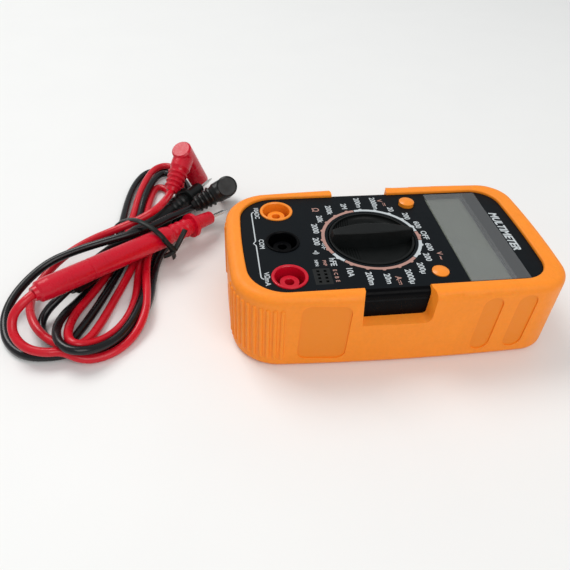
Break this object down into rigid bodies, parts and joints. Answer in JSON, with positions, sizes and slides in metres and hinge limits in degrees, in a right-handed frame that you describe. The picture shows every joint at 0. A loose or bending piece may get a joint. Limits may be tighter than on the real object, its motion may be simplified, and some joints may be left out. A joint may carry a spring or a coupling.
{
  "type": "digital multimeter",
  "caption": "Pocket digital multimeter in a rubber holster: rotary range knob, push buttons, liquid-crystal display, input jacks, and its tied test leads with probes.",
  "frame": {"origin": "on the surface the meter lies on, under the middle of the holster", "axes": "+X towards the right of the face, +Y towards the display end, +Z out of the face"},
  "size_m": [0.1719, 0.2391, 0.0419],
  "materials": {
    "holster_rubber": "satin",
    "case_plastic": "fine texture",
    "knob_plastic": "fine texture",
    "overlay": "printed film",
    "clear_window": "clear",
    "clear_film": "clear",
    "lcd": "grey-green display glass",
    "white_plastic": "moulded",
    "silicone": "soft",
    "board": "solder mask",
    "epoxy": "potting",
    "resistor_body": "lacquer",
    "capacitor_body": "epoxy",
    "trimmer_body": "moulded",
    "fuse_metal": "nickel",
    "brass": "turned",
    "copper_alloy": "drawn wire",
    "steel": "zinc plated",
    "plated_metal": "nickel",
    "black_plastic": "moulded",
    "orange_plastic": "moulded",
    "red_plastic": "moulded",
    "black_gloss_plastic": "moulded",
    "battery_wrap": "printed steel jacket",
    "red_cord": "soft PVC",
    "black_cord": "soft PVC",
    "tie_plastic": "plastic-coated wire"
  },
  "bodies": {
    "meter": {"backlight_panel": "white_plastic", "battery": "battery_wrap", "battery_snap": "black_plastic", "battery_wire_black": "black_cord", "battery_wire_red": "red_cord", "board_screws": "steel", "buzzer_disc": "brass", "buzzer_springs": "steel", "capacitors": "capacitor_body", "case_screws": "steel", "chip_cover": "epoxy", "current_shunt": "copper_alloy", "display_film": "clear_film", "display_window": "clear_window", "elastomer_strip": "silicone", "faceplate": "overlay", "front_case": "case_plastic", "fuse": "fuse_metal", "fuse_clips": "fuse_metal", "hold_spring": "steel", "hold_switch": "black_plastic", "holster": "holster_rubber", "jack_collar_amps": "orange_plastic", "jack_collar_common": "case_plastic", "jack_collar_volts": "red_plastic", "jack_socket_amps": "brass", "jack_socket_common": "brass", "jack_socket_volts": "brass", "lcd_frame": "white_plastic", "lcd_glass": "lcd", "light_spring": "steel", "light_switch": "black_plastic", "main_board": "board", "rear_case": "case_plastic", "resistors": "resistor_body", "transistor_socket": "black_plastic", "trimmer": "trimmer_body"},
    "knob": {"selector_knob": "knob_plastic", "contact_rotor": "white_plastic", "detent_balls": "steel", "detent_springs": "steel", "wiper_contacts": "brass"},
    "hold_key": {"hold_button": "orange_plastic", "hold_plunger": "white_plastic"},
    "light_key": {"light_button": "orange_plastic", "light_plunger": "white_plastic"},
    "leads": {"lead_hank": "black_cord", "twist_tie": "tie_plastic", "black_plug_cord": "black_cord", "red_plug_cord": "red_cord", "red_probe_cord": "red_cord", "black_probe_cord": "black_cord", "red_probe_handle": "red_plastic", "red_probe_tip": "plated_metal", "red_plug": "red_plastic", "red_plug_pin": "plated_metal", "black_probe_handle": "black_gloss_plastic", "black_probe_tip": "plated_metal", "black_plug": "black_gloss_plastic", "black_plug_pin": "plated_metal"}
  },
  "joints": [
    {"name": "selector_turn", "type": "hinge", "parent": "meter", "child": "knob", "pos_m": [0, -0.0072, 0.033], "axis": [0, 0, 1], "continuous": true},
    {"name": "hold_press", "type": "slide", "parent": "meter", "child": "hold_key", "axis": [0, 0, -1], "range_m": [0, 0.0012], "stiffness_N_per_m": 800, "springref_m": -0.0006, "deforming": ["hold_spring"]},
    {"name": "light_press", "type": "slide", "parent": "meter", "child": "light_key", "axis": [0, 0, -1], "range_m": [0, 0.0012], "stiffness_N_per_m": 800, "springref_m": -0.0006, "deforming": ["light_spring"]},
    {"name": "leads_lift", "type": "slide", "parent": "meter", "child": "leads", "axis": [0, 0, 1], "range_m": [0, 0.1]}
  ]
}
